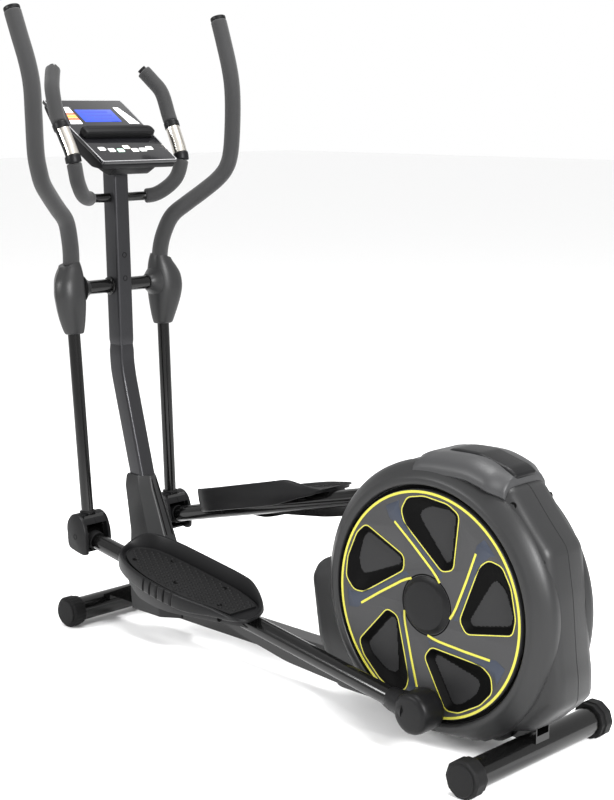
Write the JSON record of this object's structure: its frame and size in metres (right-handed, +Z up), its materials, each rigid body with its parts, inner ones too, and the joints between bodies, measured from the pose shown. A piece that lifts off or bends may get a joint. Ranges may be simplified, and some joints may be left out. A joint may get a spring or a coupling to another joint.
{
  "type": "elliptical trainer",
  "caption": "Rear-drive elliptical trainer with swinging handlebars, foot trays on long rails, a slotted drive disc on each side and a tilted console on a post.",
  "frame": {"origin": "on the floor, under the middle of the machine's overall box", "axes": "+X to the rear, from the console to the drive housing; +Z up; -Y is the user's left"},
  "size_m": [1.5266, 0.6438, 1.5287],
  "materials": {
    "gloss_black_paint": "gloss black powder coat",
    "graphite_paint": "satin graphite metallic paint",
    "charcoal_plastic": "fine textured moulding",
    "grey_plastic": "satin grey moulding",
    "disc_plastic": "satin metallic grey moulding with yellow lines and slate flares",
    "black_foam": "closed-cell foam sleeve",
    "brushed_steel": "brushed",
    "cast_iron": "turned casting",
    "black_rubber": "matte rubber",
    "panel_black": "gloss printed panel",
    "lcd_blue": "lit blue display behind a clear window",
    "key_white": "moulded key caps"
  },
  "bodies": {
    "root": {"base_frame": "gloss_black_paint", "front_stabilizer": "gloss_black_paint", "rear_stabilizer": "gloss_black_paint", "lower_post": "graphite_paint", "upper_post": "graphite_paint", "post_boot": "charcoal_plastic", "cross_axle": "gloss_black_paint", "fixed_handlebar": "gloss_black_paint", "fixed_grip_lower_left": "black_foam", "fixed_grip_lower_right": "black_foam", "pulse_sensor_left": "brushed_steel", "pulse_sensor_right": "brushed_steel", "fixed_grip_upper_left": "black_foam", "fixed_grip_upper_right": "black_foam", "console_face": "panel_black", "console_lcd": "lcd_blue", "tablet_ledge": "charcoal_plastic", "console_back": "charcoal_plastic", "shell_left": "charcoal_plastic", "shell_right": "charcoal_plastic", "shell_top_cover": "grey_plastic", "drive_belt": "black_rubber"},
    "crank": {"crank_axle": "brushed_steel", "crank_pulley": "charcoal_plastic", "crank_disc_left": "disc_plastic", "crank_disc_right": "disc_plastic", "hub_cap_left": "charcoal_plastic", "hub_cap_right": "charcoal_plastic"},
    "flywheel": {"flywheel": "cast_iron"},
    "belt_idler": {"belt_idler": "brushed_steel"},
    "magnet_brake": {"magnet_brake": "graphite_paint"},
    "front_roller_left": {"front_roller_left": "black_rubber"},
    "front_roller_right": {"front_roller_right": "black_rubber"},
    "rear_leveler_left": {"rear_leveler_left": "black_rubber"},
    "rear_leveler_right": {"rear_leveler_right": "black_rubber"},
    "arm_left": {"swing_arm_left": "gloss_black_paint", "handle_tube_left": "gloss_black_paint", "handle_grip_left": "black_foam", "knee_cover_left": "charcoal_plastic", "clevis_cover_left": "charcoal_plastic"},
    "arm_right": {"swing_arm_right": "gloss_black_paint", "handle_tube_right": "gloss_black_paint", "handle_grip_right": "black_foam", "knee_cover_right": "charcoal_plastic", "clevis_cover_right": "charcoal_plastic"},
    "rail_left": {"pedal_rail_left": "gloss_black_paint", "pedal_tray_left": "charcoal_plastic", "pedal_tread_left": "black_rubber", "rail_end_cover_left": "charcoal_plastic"},
    "rail_right": {"pedal_rail_right": "gloss_black_paint", "pedal_tray_right": "charcoal_plastic", "pedal_tread_right": "black_rubber", "rail_end_cover_right": "charcoal_plastic"},
    "key_mode": {"key_mode": "key_white"},
    "key_set": {"key_set": "key_white"},
    "key_start": {"key_start": "key_white"},
    "key_up": {"key_up": "key_white"},
    "key_stop": {"key_stop": "key_white"},
    "key_reset": {"key_reset": "key_white"},
    "key_recovery": {"key_recovery": "key_white"}
  },
  "joints": [
    {"name": "crank_turn", "type": "hinge", "parent": "root", "child": "crank", "pos_m": [0.4555, 0, 0.3115], "axis": [0, -1, 0], "range_deg": [0, 83.8]},
    {"name": "arm_swing_left", "type": "hinge", "parent": "root", "child": "arm_left", "pos_m": [-0.632, -0.143, 0.867], "axis": [0, -1, 0], "range_deg": [0, 16.95]},
    {"name": "arm_swing_right", "type": "hinge", "parent": "root", "child": "arm_right", "pos_m": [-0.632, 0.143, 0.867], "axis": [0, -1, 0], "range_deg": [-20.8, 0]},
    {"name": "rail_pivot_left", "type": "hinge", "parent": "arm_left", "child": "rail_left", "pos_m": [-0.58126, -0.143, 0.26313], "axis": [0, -1, 0], "range_deg": [-8.05, 0]},
    {"name": "rail_pivot_right", "type": "hinge", "parent": "arm_right", "child": "rail_right", "pos_m": [-0.60673, 0.143, 0.26153], "axis": [0, -1, 0], "range_deg": [0, 7.97]},
    {"name": "flywheel_spin", "type": "hinge", "parent": "root", "child": "flywheel", "pos_m": [0.22, 0, 0.23], "axis": [0, -1, 0], "continuous": true},
    {"name": "idler_spin", "type": "hinge", "parent": "root", "child": "belt_idler", "pos_m": [0.34, 0, 0.186], "axis": [0, -1, 0], "continuous": true},
    {"name": "brake_swing", "type": "hinge", "parent": "root", "child": "magnet_brake", "pos_m": [0.135, 0, 0.3013], "axis": [0, -1, 0], "range_deg": [0, 8]},
    {"name": "front_roller_spin_left", "type": "hinge", "parent": "root", "child": "front_roller_left", "pos_m": [-0.699, -0.115, 0.039], "axis": [0, -1, 0], "continuous": true},
    {"name": "front_roller_spin_right", "type": "hinge", "parent": "root", "child": "front_roller_right", "pos_m": [-0.699, 0.115, 0.039], "axis": [0, -1, 0], "continuous": true},
    {"name": "rear_leveler_turn_left", "type": "hinge", "parent": "root", "child": "rear_leveler_left", "pos_m": [0.6585, -0.212, 0.039], "axis": [0, -1, 0], "continuous": true},
    {"name": "rear_leveler_turn_right", "type": "hinge", "parent": "root", "child": "rear_leveler_right", "pos_m": [0.6585, 0.212, 0.039], "axis": [0, -1, 0], "continuous": true},
    {"name": "key_press_mode", "type": "slide", "parent": "root", "child": "key_mode", "axis": [-0.5388, 0, -0.8425], "range_m": [0, 0.001], "stiffness_N_per_m": 800},
    {"name": "key_press_set", "type": "slide", "parent": "root", "child": "key_set", "axis": [-0.5388, 0, -0.8425], "range_m": [0, 0.001], "stiffness_N_per_m": 800},
    {"name": "key_press_start", "type": "slide", "parent": "root", "child": "key_start", "axis": [-0.5388, 0, -0.8425], "range_m": [0, 0.001], "stiffness_N_per_m": 800},
    {"name": "key_press_up", "type": "slide", "parent": "root", "child": "key_up", "axis": [-0.5388, 0, -0.8425], "range_m": [0, 0.001], "stiffness_N_per_m": 800},
    {"name": "key_press_stop", "type": "slide", "parent": "root", "child": "key_stop", "axis": [-0.5388, 0, -0.8425], "range_m": [0, 0.001], "stiffness_N_per_m": 800},
    {"name": "key_press_reset", "type": "slide", "parent": "root", "child": "key_reset", "axis": [-0.5388, 0, -0.8425], "range_m": [0, 0.001], "stiffness_N_per_m": 800},
    {"name": "key_press_recovery", "type": "slide", "parent": "root", "child": "key_recovery", "axis": [-0.5388, 0, -0.8425], "range_m": [0, 0.001], "stiffness_N_per_m": 800}
  ],
  "couplings": [
    {"joint": "arm_swing_left", "follows": "crank_turn", "ratio": 0.20219},
    {"joint": "arm_swing_right", "follows": "crank_turn", "ratio": -0.24813},
    {"joint": "rail_pivot_left", "follows": "crank_turn", "ratio": -0.09598},
    {"joint": "rail_pivot_right", "follows": "crank_turn", "ratio": 0.095063},
    {"joint": "flywheel_spin", "follows": "crank_turn", "ratio": 7},
    {"joint": "idler_spin", "follows": "crank_turn", "ratio": 6.3636}
  ]
}
